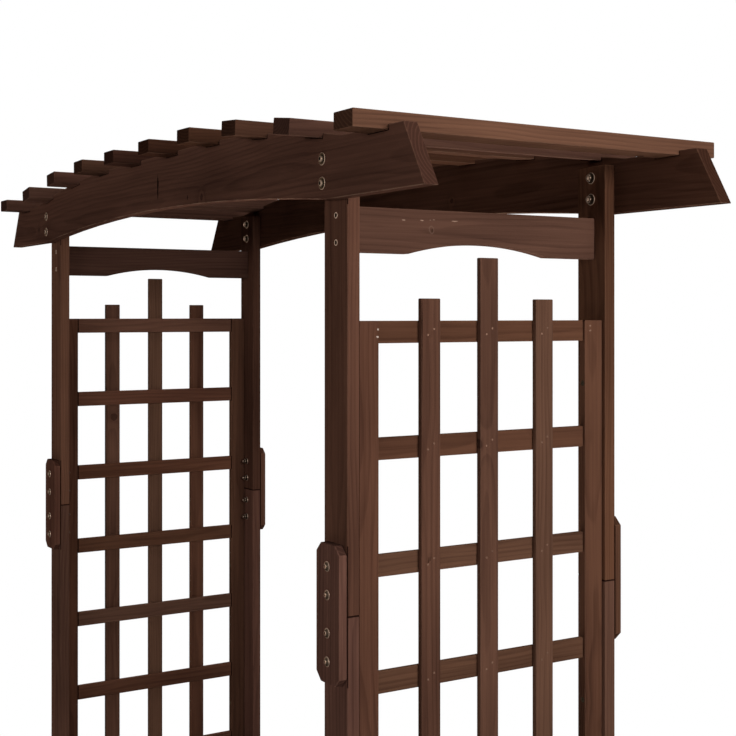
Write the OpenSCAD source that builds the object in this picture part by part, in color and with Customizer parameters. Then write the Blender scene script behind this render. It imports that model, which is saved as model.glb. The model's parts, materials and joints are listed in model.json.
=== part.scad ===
// Arbour seat: four jointed board posts, two arched roof beams, ten roof slats,
// trellis side panels and a slatted bench, held by bolts, screws and nails.
// X runs along the bench, -Y is the open front and the posts stand on z = 0.

/* [Posts] */
// Width over the posts
frame_w = 1225; // [1150:1:1300]
// Depth over the posts
frame_d = 460; // [430:1:500]
// Width of a post board
post_w = 61; // [57:1:68]
// Thickness of a post board
post_t = 19; // [17:1:24]
// Height of the joint between the lower and the upper post boards
joint_z = 1380; // [1340:1:1420]
// How far a post runs up behind its roof beam
post_lap = 71; // [66:1:77]
// Length of a splice plate
plate_l = 184; // [160:1:220]
// Thickness of a splice plate
plate_t = 12.5; // [10:0.5:18]
// Corner cut of a splice plate
plate_cut = 12; // [6:1:18]
// Distance of the inner splice bolts from the joint
splice_inner = 25; // [20:1:32]
// Distance of the outer splice bolts from the joint
splice_outer = 62.5; // [54:0.5:68]

/* [Roof beams] */
// Height of the flat underside at a beam's ends
beam_z = 1923; // [1880:1:1960]
// Length of a beam, tip to tip
beam_l = 1643; // [1600:1:1700]
// Thickness of a beam
beam_t = 20; // [18:1:26]
// Height of a beam at its ends
beam_end_h = 79; // [77:0.5:90]
// How far the end cut leans in at the top
end_lean = 45; // [20:1:48]
// Height of the crown above the end's top edge
crown_rise = 37; // [30:1:44]
// Half width of the crown's level stretch
crown_x = 184; // [140:1:230]
// Distance from the middle to where the shoulder meets the level end
shoulder_x = 635; // [622:1:650]
// Rise of the arch under the beam
arch_rise = 27; // [15:1:34]
// Half width of the arch under the beam
arch_x = 589; // [540:1:620]
// Height of the lower beam bolt above the beam's underside
beam_bolt_up = 21.5; // [16:0.5:26]
// Distance between the two bolts of a beam joint
beam_bolt_gap = 32; // [26:1:38]

/* [Roof slats] */
// Length of a roof slat
roof_slat_l = 600; // [560:1:680]
// Width of a roof slat
roof_slat_w = 46; // [40:1:54]
// Thickness of a roof slat
roof_slat_t = 22.5; // [18:0.5:25]
// Spacing of the roof slats along the beam
roof_pitch = 160; // [156:1:163]
// Depth of a beam's notch for a roof slat
notch_d = 6.5; // [3:0.5:7]

/* [Side rails] */
// Drop of the side rail's top edge below the beam's underside
side_drop = 7; // [2:1:20]
// Height of a side rail
side_h = 61; // [54:1:70]
// Thickness of a side rail
side_t = 16; // [14:1:20]
// Rise of the arch under a side rail
side_arch = 15; // [8:1:18]
// Half width of the arch under a side rail
side_arch_y = 120; // [90:1:140]
// Distance between the two screws of a side rail joint
side_screw_gap = 36; // [30:1:38]

/* [Trellis] */
// Gap between the side rail and the top rail of the trellis
trellis_drop = 90.5; // [80:0.5:110]
// Number of trellis rails on each side
trellis_rails = 11; // [8:1:11]
// Spacing of the trellis rails
rail_pitch = 155; // [145:1:160]
// Height of a trellis rail
rail_h = 30; // [26:1:36]
// Thickness of a trellis rail
rail_t = 8; // [7:1:10]
// Width of a trellis stile
stile_w = 33; // [28:1:38]
// Thickness of a trellis stile
stile_t = 12; // [11:1:14]
// Width of an upright trellis slat
slat_w = 31; // [26:1:34]
// Thickness of an upright trellis slat
slat_t = 9; // [7:1:10]
// Spacing of the upright trellis slats
slat_pitch = 98; // [90:1:106]
// Inset of the upright slats from the posts' outer faces
slat_inset = 1.2; // [0:0.1:2]
// Height of the outer upright slats above the top rail
slat_up = 30; // [15:1:45]
// Height of the middle upright slat above the top rail
middle_up = 87; // [60:1:110]

/* [Bench] */
// Height of the seat's top
seat_z = 420; // [400:1:440]
// Number of seat slats
seat_slats = 5; // [3:1:5]
// Width of a seat slat
seat_slat_w = 68; // [60:1:69]
// Thickness of a seat slat
seat_slat_t = 18; // [15:1:24]
// Gap between the seat slats
seat_gap = 10; // [6:1:11]
// Height of the seat's front and rear aprons
apron_h = 70; // [60:1:90]
// Thickness of the bench's boards on edge
board_t = 20; // [17:1:22]
// Distance of the outer seat bearers from the middle
bearer_x = 470; // [380:1:520]
// Height of a seat bearer
bearer_h = 50; // [40:1:60]
// Distance of the seat screws from the edges of a slat
seat_screw_in = 10; // [8:1:12]
// Height of the back's top edge
back_z = 815; // [780:1:860]
// Height of a back rail
back_rail_h = 61; // [50:1:70]
// Distance of the back's lower edge above the seat
back_up = 45; // [30:1:80]
// Number of back slats
back_slats = 13; // [9:1:13]
// Width of a back slat
back_slat_w = 46; // [36:1:54]
// Thickness of a back slat
back_slat_t = 10; // [8:1:10]

/* [Fasteners] */
// Radius of a bolt's shank
bolt_r = 3; // [2.5:0.5:3.5]
// Distance between the two bolts of a bench board's joint
board_bolt_gap = 30; // [24:1:34]
// Radius of a bolt's domed head
bolt_head_r = 5.5; // [5:0.25:6.25]
// Radius of a beam or bench washer
washer_r = 8.5; // [7.5:0.5:9]
// Radius of a splice washer
splice_washer_r = 6.75; // [6.5:0.25:8]
// Thickness of a washer
washer_t = 1.4; // [1:0.1:2]
// Width of a nut across its flats
nut_flats = 10; // [9:0.5:12]
// Thickness of a nut
nut_t = 5; // [4:0.5:6]
// Length of thread beyond the nut of a beam or bench bolt
long_tail = 1; // [0.5:0.5:5]
// Length of thread beyond the nut of a splice bolt
splice_tail = 4; // [2:0.5:7]
// Radius of a side rail screw
side_screw_r = 3; // [2.5:0.5:3.5]
// Length of a side rail screw
side_screw_l = 70; // [60:1:90]
// Radius of a wood screw
screw_r = 2; // [1.5:0.25:2.25]
// Radius of a wood screw's head
screw_head_r = 4; // [3.5:0.25:4.5]
// Length of a roof screw
roof_screw_l = 40; // [34:1:50]
// Length of a bench screw
bench_screw_l = 28; // [26:1:29]
// Length of a back slat screw
back_screw_l = 25; // [18:1:26]
// How far a trellis screw reaches into its post
trellis_screw_bite = 16; // [12:1:17]
// Radius of a trellis nail
nail_r = 0.8; // [0.6:0.1:1]
// Radius of a trellis nail's head
nail_head_r = 1.5; // [1.3:0.1:1.8]
// How far a stile's nail reaches into the end of its rail
nail_bite = 18; // [10:1:24]
// Wood left behind the nail of a crossing
nail_stop = 2; // [1:0.5:3]

/* [Fits] */
// Clearance around a bolt
bolt_gap = 0.25; // [0.1:0.05:0.5]
// Clearance around a screw
screw_gap = 0.2; // [0.1:0.05:0.3]
// Clearance around a nail
nail_gap = 0.1; // [0.05:0.05:0.2]
// Clearance on each side of a roof slat in its notch
notch_gap = 0.25; // [0.1:0.05:0.5]
// Clearance between the bench's boards and their neighbours
board_gap = 0.5; // [0.3:0.1:0.8]

/* [Hidden] */

side_wood = "#5f4032";
front_wood = "#4a3026";
zinc = "#a08a5a";

$fn = 48;
arc_fn = 720;          // the beams' arcs have radii of several metres
over = 1;              // how far a cut runs past a face

post_x = frame_w / 2 - post_w / 2;
post_out_y = frame_d / 2;
post_in_y = post_out_y - post_t;
post_top = beam_z + post_lap;
beam_y = post_out_y + beam_t / 2;

shoulder_run = shoulder_x - crown_x;
shoulder_r = (shoulder_run * shoulder_run + crown_rise * crown_rise) / (2 * crown_rise);
arch_r = (arch_x * arch_x + arch_rise * arch_rise) / (2 * arch_rise);
side_arch_r = (side_arch_y * side_arch_y + side_arch * side_arch) / (2 * side_arch);

roof_slats = 10;
notch_w = roof_slat_w + 2 * notch_gap;

side_top = beam_z - side_drop;
side_z = side_top - side_h;
trellis_top = side_z - trellis_drop;
trellis_bottom = trellis_top - (trellis_rails - 1) * rail_pitch - rail_h;
slat_out_x = frame_w / 2 - slat_inset;
rail_out_x = slat_out_x - slat_t;
panel_in_x = rail_out_x - rail_t;
rail_half_l = post_in_y - stile_w;
stile_x = panel_in_x + stile_t / 2;

bench_half_l = panel_in_x - board_gap;
back_half_l = post_x - post_w / 2 - board_gap;
board_in_y = post_in_y - board_t;
frame_top = seat_z - seat_slat_t;
apron_z = frame_top - apron_h;
seat_front_y = -(post_in_y - board_gap);
back_low = seat_z + back_up;

beam_bolts = [beam_z + beam_bolt_up, beam_z + beam_bolt_up + beam_bolt_gap];
side_screws_z = [for (s = [-0.5, 0.5]) side_z + side_h / 2 + s * side_screw_gap];
splices = [for (d = [-splice_outer, -splice_inner, splice_inner, splice_outer]) joint_z + d];
apron_bolts = [for (s = [-0.5, 0.5]) apron_z + apron_h / 2 + s * board_bolt_gap];
back_rails = [back_low, back_z - back_rail_h];
back_bolts = [for (z = back_rails, s = [-0.5, 0.5]) z + back_rail_h / 2 + s * board_bolt_gap];

trellis_screw_cells = [0, 3, 5, 7];
trellis_screws_z = [for (c = trellis_screw_cells) trellis_top - rail_h / 2 - (c + 0.5) * rail_pitch];
trellis_screw_l = stile_w + trellis_screw_bite;
rail_levels = [for (i = [0 : trellis_rails - 1]) trellis_top - rail_h / 2 - i * rail_pitch];
nail_l = slat_t + rail_t - nail_stop;
end_nail_l = stile_w + nail_bite;
bolt_head_h = 3.4;
bolt_dome_r = 1.3 * bolt_head_r;
bolt_key_r = 2.3;
bolt_key_depth = 1.8;
head_root = 0.5;       // shank buried in its own head
nail_head_t = 0.7;
nail_dy = 5;           // the two nails of a crossing stand on a diagonal
nail_dz = 4;
screw_head_h = 2.4;
screw_sink = 0.3;
screw_slot_w = 1;
screw_slot_depth = 1.4;
side_head_r = 4.5;
side_head_h = 4;
side_key_r = 2.9;
side_key_depth = 2.6;
side_tip = 6;          // length of a side rail screw's point
side_tip_r = 0.6;
thread_fit = 0.05;     // between a nut and the shank in it

// Top edge of a beam above its flat underside, and its slope
function beam_top(x) = abs(x) <= crown_x ? beam_end_h + crown_rise
    : abs(x) >= shoulder_x ? beam_end_h
    : beam_end_h + crown_rise - shoulder_r + sqrt(pow(shoulder_r, 2) - pow(abs(x) - crown_x, 2));
function beam_slope(x) = abs(x) <= crown_x || abs(x) >= shoulder_x ? 0
    : sign(x) * asin((abs(x) - crown_x) / shoulder_r);
function roof_x(n) = (n - (roof_slats + 1) / 2) * roof_pitch;

// Placing
module at_notch(n) {
    x = roof_x(n);
    translate([x, 0, beam_z + beam_top(x)])
        rotate([0, beam_slope(x), 0])
            translate([0, 0, -notch_d]) children();
}

// A point on a face that looks along +Y (way = 1) or -Y (way = -1)
module facing(x, y, z, way) {
    translate([x, y, z]) rotate([way > 0 ? -90 : 90, 0, 0]) children();
}

module on_side(s) {
    mirror([s < 0 ? 1 : 0, 0, 0]) children();
}

// Fasteners, each with its head upwards at z = 0
module bolt(stack, tail) {
    length = stack + nut_t + tail;
    difference() {
        union() {
            intersection() {
                cylinder(r = bolt_head_r, h = bolt_head_h);
                translate([0, 0, bolt_head_h - bolt_dome_r]) sphere(r = bolt_dome_r);
            }
            translate([0, 0, -length]) cylinder(r = bolt_r, h = length + head_root);
        }
        translate([0, 0, bolt_head_h - bolt_key_depth])
            cylinder(r = bolt_key_r, h = bolt_key_depth + over, $fn = 6);
    }
}

module bolt_cut(depth) {
    translate([0, 0, -depth - over]) cylinder(r = bolt_r + bolt_gap, h = depth + 2 * over);
}

module washer(radius) {
    difference() {
        cylinder(r = radius, h = washer_t);
        translate([0, 0, -over]) cylinder(r = bolt_r + bolt_gap, h = washer_t + 2 * over);
    }
}

module nut() {
    difference() {
        cylinder(d = nut_flats / cos(30), h = nut_t, $fn = 6);
        translate([0, 0, -over]) cylinder(r = bolt_r + thread_fit, h = nut_t + 2 * over);
    }
}

module screw(length) {
    translate([0, 0, -screw_sink]) difference() {
        union() {
            translate([0, 0, -length]) cylinder(r = screw_r, h = length - screw_head_h);
            translate([0, 0, -screw_head_h]) cylinder(r1 = screw_r, r2 = screw_head_r, h = screw_head_h);
        }
        for (a = [0, 90]) rotate(a) translate([-screw_r, -screw_slot_w / 2, -screw_slot_depth])
            cube([2 * screw_r, screw_slot_w, screw_slot_depth + over]);
    }
}

module screw_cut(length) {
    translate([0, 0, -screw_sink]) {
        translate([0, 0, -length - screw_gap]) cylinder(r = screw_r + screw_gap, h = length);
        translate([0, 0, -screw_head_h - screw_gap])
            cylinder(r1 = screw_r + screw_gap, r2 = screw_head_r + screw_gap, h = screw_head_h + screw_gap);
        cylinder(r = screw_head_r + screw_gap, h = over + screw_sink);
    }
}

module nail(length, gap = 0) {
    translate([0, 0, -length - gap]) cylinder(r = nail_r + gap, h = length + gap, $fn = 16);
    translate([0, 0, -nail_head_t - gap])
        cylinder(r = nail_head_r + gap, h = nail_head_t + (gap > 0 ? over : 0), $fn = 16);
}

module side_screw() {
    difference() {
        union() {
            translate([0, 0, -side_head_h]) cylinder(r = side_head_r, h = side_head_h);
            translate([0, 0, side_tip - side_screw_l])
                cylinder(r = side_screw_r, h = side_screw_l - side_tip - side_head_h + head_root);
            translate([0, 0, -side_screw_l]) cylinder(r1 = side_tip_r, r2 = side_screw_r, h = side_tip);
        }
        translate([0, 0, -side_key_depth]) cylinder(r = side_key_r, h = side_key_depth + over, $fn = 6);
    }
}

module side_screw_cut() {
    translate([0, 0, -side_screw_l - side_tip_r])
        cylinder(r = side_screw_r + bolt_gap, h = side_screw_l + side_tip_r + over);
    translate([0, 0, -side_head_h - bolt_gap])
        cylinder(r = side_head_r + bolt_gap, h = side_head_h + bolt_gap + over);
}

// Where the fasteners go
module at_beam_bolts() {
    for (sx = [-1, 1], sy = [-1, 1], z = beam_bolts)
        facing(sx * post_x, sy * (post_out_y + beam_t), z, sy) children();
}

module at_splices() {
    for (sx = [-1, 1], sy = [-1, 1], z = splices)
        facing(sx * post_x, sy * (post_out_y + plate_t), z, sy) children();
}

module at_bench_bolts() {
    for (sx = [-1, 1], sy = [-1, 1], z = apron_bolts)
        facing(sx * post_x, sy * post_out_y, z, sy) children();
    for (sx = [-1, 1], z = back_bolts) facing(sx * post_x, post_out_y, z, 1) children();
}

module at_side_screws() {
    for (sx = [-1, 1], sy = [-1, 1], z = side_screws_z)
        facing(sx * post_x, sy * post_out_y, z, sy) children();
}

module at_trellis_screws() {
    for (sx = [-1, 1], sy = [-1, 1], z = trellis_screws_z)
        facing(sx * stile_x, sy * rail_half_l, z, -sy) children();
}

module at_roof_screws(n) {
    at_notch(n) for (sy = [-1, 1]) translate([0, sy * beam_y, roof_slat_t]) children();
}

module at_crossings() {
    for (sx = [-1, 1], y = [-slat_pitch, 0, slat_pitch], z = rail_levels, s = [-1, 1])
        translate([sx * slat_out_x, y + s * nail_dy, z + s * nail_dz]) rotate([0, sx * 90, 0]) children();
}

module at_rail_ends() {
    for (sx = [-1, 1], sy = [-1, 1], z = rail_levels)
        facing(sx * (panel_in_x + rail_t / 2), sy * post_in_y, z, sy) children();
}

// The front slat's outer screws stand beside the bearers, in the apron's top edge
module at_seat_screws() {
    for (n = [1 : seat_slats], x = [-bearer_x, 0, bearer_x], s = [-1, 1])
        translate([
            x + (n == 1 && s < 0 ? board_t : 0),
            seat_y(n) + s * (seat_slat_w / 2 - seat_screw_in),
            seat_z
        ]) children();
}

module at_bearer_screws() {
    for (x = [-bearer_x, 0, bearer_x], sy = [-1, 1], s = [-1, 1])
        facing(x, sy * post_in_y, frame_top - bearer_h / 2 + s * bearer_h / 4, sy) children();
}

module at_back_screws() {
    for (n = [1 : back_slats], z = back_rails)
        facing(back_x(n), board_in_y - back_slat_t, z + back_rail_h / 2, -1) children();
}

function seat_y(n) = seat_front_y + (n - 0.5) * seat_slat_w + (n - 1) * seat_gap;
function back_x(n) = (n - (back_slats + 1) / 2) * (2 * back_half_l - back_slat_w) / (back_slats - 1);

// Posts
module post_board(sx, sy, low, high) {
    depth = post_t + beam_t + plate_t;
    color(side_wood) difference() {
        translate([sx * post_x - post_w / 2, sy > 0 ? post_in_y : -post_out_y, low])
            cube([post_w, post_t, high - low]);
        at_beam_bolts() bolt_cut(depth);
        at_splices() bolt_cut(depth);
        at_bench_bolts() bolt_cut(depth);
        at_side_screws() side_screw_cut();
        at_trellis_screws() screw_cut(trellis_screw_l);
    }
}

module lower_post(sx, sy) {
    post_board(sx, sy, 0, joint_z);
}

module upper_post(sx, sy) {
    post_board(sx, sy, joint_z, post_top);
}

module splice_plate(sx, sy) {
    half_w = post_w / 2;
    half_l = plate_l / 2;
    color(front_wood) difference() {
        translate([sx * post_x, sy > 0 ? post_out_y + plate_t : -post_out_y, joint_z]) rotate([90, 0, 0])
            linear_extrude(plate_t) polygon([
                for (q = [[1, 1], [-1, 1], [-1, -1], [1, -1]], k = [0, 1])
                    (q[0] * q[1] > 0) == (k == 0)
                        ? [q[0] * half_w, q[1] * (half_l - plate_cut)]
                        : [q[0] * (half_w - plate_cut), q[1] * half_l]
            ]);
        at_splices() bolt_cut(plate_t);
    }
}

// Roof
module beam_outline() {
    tip = beam_l / 2;
    difference() {
        union() {
            polygon([[-tip, 0], [tip, 0], [tip - end_lean, beam_end_h], [end_lean - tip, beam_end_h]]);
            translate([-crown_x, 0]) square([2 * crown_x, beam_end_h + crown_rise]);
            for (s = [0, 1]) mirror([s, 0]) intersection() {
                translate([crown_x, beam_end_h + crown_rise - shoulder_r])
                    circle(r = shoulder_r, $fn = arc_fn);
                translate([0, beam_end_h / 2]) square([shoulder_x, beam_end_h + crown_rise]);
            }
        }
        translate([0, arch_rise - arch_r]) circle(r = arch_r, $fn = arc_fn);
    }
}

module roof_beam(sy) {
    color(front_wood) difference() {
        translate([0, sy > 0 ? post_out_y + beam_t : -post_out_y, beam_z]) rotate([90, 0, 0])
            linear_extrude(beam_t) beam_outline();
        for (n = [1 : roof_slats]) {
            at_notch(n) translate([-notch_w / 2, -frame_d, 0]) cube([notch_w, 2 * frame_d, 4 * notch_d]);
            at_roof_screws(n) screw_cut(roof_screw_l);
        }
        at_beam_bolts() bolt_cut(beam_t);
    }
}

module roof_slat(n) {
    color(side_wood) difference() {
        at_notch(n) translate([-roof_slat_w / 2, -roof_slat_l / 2, 0])
            cube([roof_slat_w, roof_slat_l, roof_slat_t]);
        at_roof_screws(n) screw_cut(roof_screw_l);
    }
}

// Side rails
module side_rail(s) {
    color(side_wood) on_side(s) difference() {
        translate([post_x - side_t / 2, -post_in_y, side_z]) cube([side_t, 2 * post_in_y, side_h]);
        translate([post_x, 0, side_z + side_arch - side_arch_r]) rotate([0, 90, 0])
            cylinder(r = side_arch_r, h = side_t + 2 * over, center = true, $fn = 180);
        at_side_screws() side_screw_cut();
    }
}

// Trellis
module trellis_rail_set(s) {
    color(side_wood) difference() {
        on_side(s) for (z = rail_levels)
            translate([panel_in_x, -rail_half_l, z - rail_h / 2]) cube([rail_t, 2 * rail_half_l, rail_h]);
        at_crossings() nail(nail_l, nail_gap);
        at_rail_ends() nail(end_nail_l, nail_gap);
    }
}

module trellis_stile(s, sy) {
    color(side_wood) difference() {
        on_side(s) translate([panel_in_x, sy > 0 ? rail_half_l : -post_in_y, trellis_bottom])
            cube([stile_t, stile_w, trellis_top - trellis_bottom]);
        at_trellis_screws() screw_cut(trellis_screw_l);
        at_rail_ends() nail(end_nail_l, nail_gap);
    }
}

module trellis_slat(s, place) {
    top = trellis_top + (place == 0 ? middle_up : slat_up);
    color(side_wood) difference() {
        on_side(s) translate([rail_out_x, place * slat_pitch - slat_w / 2, trellis_bottom])
            cube([slat_t, slat_w, top - trellis_bottom]);
        at_crossings() nail(nail_l, nail_gap);
    }
}

// Bench
module bench_board(sy, low, height) {
    translate([-bench_half_l, sy > 0 ? board_in_y : -post_in_y, low])
        cube([2 * bench_half_l, board_t, height]);
}

module apron(sy) {
    color(front_wood) difference() {
        bench_board(sy, apron_z, apron_h);
        at_bench_bolts() bolt_cut(post_t + board_t);
        at_seat_screws() screw_cut(bench_screw_l + seat_slat_t);
        at_bearer_screws() screw_cut(bench_screw_l + board_t);
    }
}

module seat_bearers() {
    color(front_wood) difference() {
        for (x = [-bearer_x, 0, bearer_x])
            translate([x - board_t / 2, -board_in_y, frame_top - bearer_h])
                cube([board_t, 2 * board_in_y, bearer_h]);
        at_seat_screws() screw_cut(bench_screw_l + seat_slat_t);
        at_bearer_screws() screw_cut(bench_screw_l + board_t);
    }
}

module seat_slat(n) {
    if (n <= seat_slats) color(side_wood) difference() {
        translate([-bench_half_l, seat_y(n) - seat_slat_w / 2, frame_top])
            cube([2 * bench_half_l, seat_slat_w, seat_slat_t]);
        at_seat_screws() screw_cut(bench_screw_l + seat_slat_t);
    }
}

module back_rail(low) {
    color(front_wood) difference() {
        bench_board(1, low, back_rail_h);
        at_bench_bolts() bolt_cut(post_t + board_t);
        at_back_screws() screw_cut(back_screw_l);
    }
}

module back_slat_set() {
    color(side_wood) difference() {
        for (n = [1 : back_slats])
            translate([back_x(n) - back_slat_w / 2, board_in_y - back_slat_t, back_low])
                cube([back_slat_w, back_slat_t, back_z - back_low]);
        at_back_screws() screw_cut(back_screw_l);
    }
}

// Fasteners in place
module long_bolts() {
    color(zinc) {
        at_beam_bolts() translate([0, 0, washer_t]) bolt(beam_t + post_t + 2 * washer_t, long_tail);
        at_bench_bolts() translate([0, 0, washer_t]) bolt(board_t + post_t + 2 * washer_t, long_tail);
    }
}

module splice_bolts() {
    color(zinc) at_splices() translate([0, 0, washer_t])
        bolt(plate_t + post_t + 2 * washer_t, splice_tail);
}

module hex_nuts() {
    color(zinc) {
        at_beam_bolts() translate([0, 0, -beam_t - post_t - washer_t - nut_t]) nut();
        at_splices() translate([0, 0, -plate_t - post_t - washer_t - nut_t]) nut();
        at_bench_bolts() translate([0, 0, -board_t - post_t - washer_t - nut_t]) nut();
    }
}

module washers() {
    color(zinc) {
        at_beam_bolts() for (z = [0, -beam_t - post_t - washer_t]) translate([0, 0, z]) washer(washer_r);
        at_splices() for (z = [0, -plate_t - post_t - washer_t])
            translate([0, 0, z]) washer(splice_washer_r);
        at_bench_bolts() for (z = [0, -board_t - post_t - washer_t]) translate([0, 0, z]) washer(washer_r);
    }
}

module side_rail_screws() {
    color(zinc) at_side_screws() side_screw();
}

module roof_screws() {
    color(zinc) for (n = [1 : roof_slats]) at_roof_screws(n) screw(roof_screw_l);
}

module bench_screws() {
    color(zinc) {
        at_seat_screws() screw(bench_screw_l + seat_slat_t);
        at_bearer_screws() screw(bench_screw_l + board_t);
        at_back_screws() screw(back_screw_l);
    }
}

module trellis_screws() {
    color(zinc) at_trellis_screws() screw(trellis_screw_l);
}

module trellis_nails() {
    color(zinc) {
        at_crossings() nail(nail_l);
        at_rail_ends() nail(end_nail_l);
    }
}

lower_post(-1, -1);  // left_front_lower_post
lower_post(-1, 1);  // left_rear_lower_post
lower_post(1, -1);  // right_front_lower_post
lower_post(1, 1);  // right_rear_lower_post
upper_post(-1, -1);  // left_front_upper_post
upper_post(-1, 1);  // left_rear_upper_post
upper_post(1, -1);  // right_front_upper_post
upper_post(1, 1);  // right_rear_upper_post
splice_plate(-1, -1);  // left_front_splice_plate
splice_plate(-1, 1);  // left_rear_splice_plate
splice_plate(1, -1);  // right_front_splice_plate
splice_plate(1, 1);  // right_rear_splice_plate
roof_beam(-1);  // front_roof_beam
roof_beam(1);  // rear_roof_beam
roof_slat(1);  // roof_slat_1
roof_slat(2);  // roof_slat_2
roof_slat(3);  // roof_slat_3
roof_slat(4);  // roof_slat_4
roof_slat(5);  // roof_slat_5
roof_slat(6);  // roof_slat_6
roof_slat(7);  // roof_slat_7
roof_slat(8);  // roof_slat_8
roof_slat(9);  // roof_slat_9
roof_slat(10);  // roof_slat_10
side_rail(-1);  // left_side_rail
side_rail(1);  // right_side_rail
trellis_stile(-1, -1);  // left_trellis_front_stile
trellis_stile(-1, 1);  // left_trellis_rear_stile
trellis_rail_set(-1);  // left_trellis_rails
trellis_slat(-1, -1);  // left_trellis_front_slat
trellis_slat(-1, 0);  // left_trellis_middle_slat
trellis_slat(-1, 1);  // left_trellis_rear_slat
trellis_stile(1, -1);  // right_trellis_front_stile
trellis_stile(1, 1);  // right_trellis_rear_stile
trellis_rail_set(1);  // right_trellis_rails
trellis_slat(1, -1);  // right_trellis_front_slat
trellis_slat(1, 0);  // right_trellis_middle_slat
trellis_slat(1, 1);  // right_trellis_rear_slat
apron(-1);  // front_apron
apron(1);  // rear_apron
seat_bearers();
seat_slat(1);  // seat_slat_1
seat_slat(2);  // seat_slat_2
seat_slat(3);  // seat_slat_3
seat_slat(4);  // seat_slat_4
seat_slat(5);  // seat_slat_5
back_rail(back_rails[1]);  // back_top_rail
back_rail(back_rails[0]);  // back_bottom_rail
back_slat_set();  // back_slats
long_bolts();
splice_bolts();
hex_nuts();
washers();
side_rail_screws();
roof_screws();
bench_screws();
trellis_screws();
trellis_nails();
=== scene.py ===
import json
import math
import random

import bmesh
import bpy
from mathutils import Matrix, Vector
from mathutils.bvhtree import BVHTree


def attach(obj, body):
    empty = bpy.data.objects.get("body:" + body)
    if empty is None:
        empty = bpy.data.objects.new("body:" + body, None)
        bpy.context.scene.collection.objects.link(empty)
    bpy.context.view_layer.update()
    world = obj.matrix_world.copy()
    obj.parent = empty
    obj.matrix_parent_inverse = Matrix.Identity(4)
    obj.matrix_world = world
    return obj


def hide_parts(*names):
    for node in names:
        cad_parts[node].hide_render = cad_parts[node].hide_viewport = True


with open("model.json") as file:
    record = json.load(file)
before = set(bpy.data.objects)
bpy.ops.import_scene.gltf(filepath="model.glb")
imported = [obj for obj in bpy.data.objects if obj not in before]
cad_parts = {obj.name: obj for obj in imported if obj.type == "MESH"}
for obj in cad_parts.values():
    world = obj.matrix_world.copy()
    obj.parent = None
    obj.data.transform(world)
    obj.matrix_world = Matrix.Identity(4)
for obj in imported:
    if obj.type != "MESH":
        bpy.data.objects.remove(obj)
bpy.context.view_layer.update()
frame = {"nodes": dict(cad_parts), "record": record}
slotOf = {part["node"]: part["material_slot"] for part in frame["record"]["subparts"]}

# Sizes are in metres, angles in degrees and colours linear


# Small helpers for shader trees
def wire(tree, target, value):
    if isinstance(value, bpy.types.NodeSocket):
        tree.links.new(value, target)
    elif value is not None:
        target.default_value = value


def addNode(tree, kind, inputs=None, settings=None):
    made = tree.nodes.new("ShaderNode" + kind)
    for key, value in (settings or {}).items():
        setattr(made, key, value)
    for key, value in (inputs or {}).items():
        wire(tree, made.inputs[key], value)
    return made


def calc(tree, operation, first, second=None, third=None, clamp=False):
    made = addNode(tree, "Math", {0: first, 1: second}, {"operation": operation, "use_clamp": clamp})
    if third is not None:
        wire(tree, made.inputs[2], third)
    return made.outputs[0]


def plus(tree, first, second, clamp=False):
    return calc(tree, "ADD", first, second, clamp=clamp)


def minus(tree, first, second, clamp=False):
    return calc(tree, "SUBTRACT", first, second, clamp=clamp)


def times(tree, first, second):
    return calc(tree, "MULTIPLY", first, second)


def vectorCalc(tree, operation, first, second=None, third=None, output="Vector"):
    made = addNode(tree, "VectorMath", {0: first, 1: second}, {"operation": operation})
    if third is not None:
        wire(tree, made.inputs[2], third)
    return made.outputs[output]


def lengthOf(tree, vector):
    return vectorCalc(tree, "LENGTH", vector, output="Value")


def split(tree, vector):
    return addNode(tree, "SeparateXYZ", {0: vector}).outputs


def smoothStep(tree, value, low, high):
    made = addNode(tree, "MapRange", {"Value": value, "From Min": low, "From Max": high},
                   {"interpolation_type": "SMOOTHSTEP"})
    return made.outputs["Result"]


def fallOff(tree, value, low, high):
    return minus(tree, 1.0, smoothStep(tree, value, low, high))


def blend(tree, factor, first, second, mode="MIX"):
    made = addNode(tree, "Mix", None, {"data_type": "RGBA", "blend_type": mode})
    wire(tree, made.inputs[0], factor)
    wire(tree, made.inputs[6], first)
    wire(tree, made.inputs[7], second)
    return made.outputs[2]


def noise(tree, vector, scale, detail=2.0, roughness=0.5):
    stretched = vectorCalc(tree, "MULTIPLY", vector, scale)
    made = addNode(tree, "TexNoise", {"Vector": stretched, "Scale": 1.0, "Detail": detail,
                                      "Roughness": roughness})
    return made.outputs[0]


def centred(tree, value, amount):
    return times(tree, minus(tree, value, 0.5), amount)


def newGroup(name, inputs, outputs):
    group = bpy.data.node_groups.new(name, "ShaderNodeTree")
    for label, kind, value in inputs:
        socket = group.interface.new_socket(label, in_out="INPUT", socket_type="NodeSocket" + kind)
        if value is not None:
            socket.default_value = value
    for label, kind in outputs:
        group.interface.new_socket(label, in_out="OUTPUT", socket_type="NodeSocket" + kind)
    return group, group.nodes.new("NodeGroupInput").outputs, group.nodes.new("NodeGroupOutput").inputs


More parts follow.
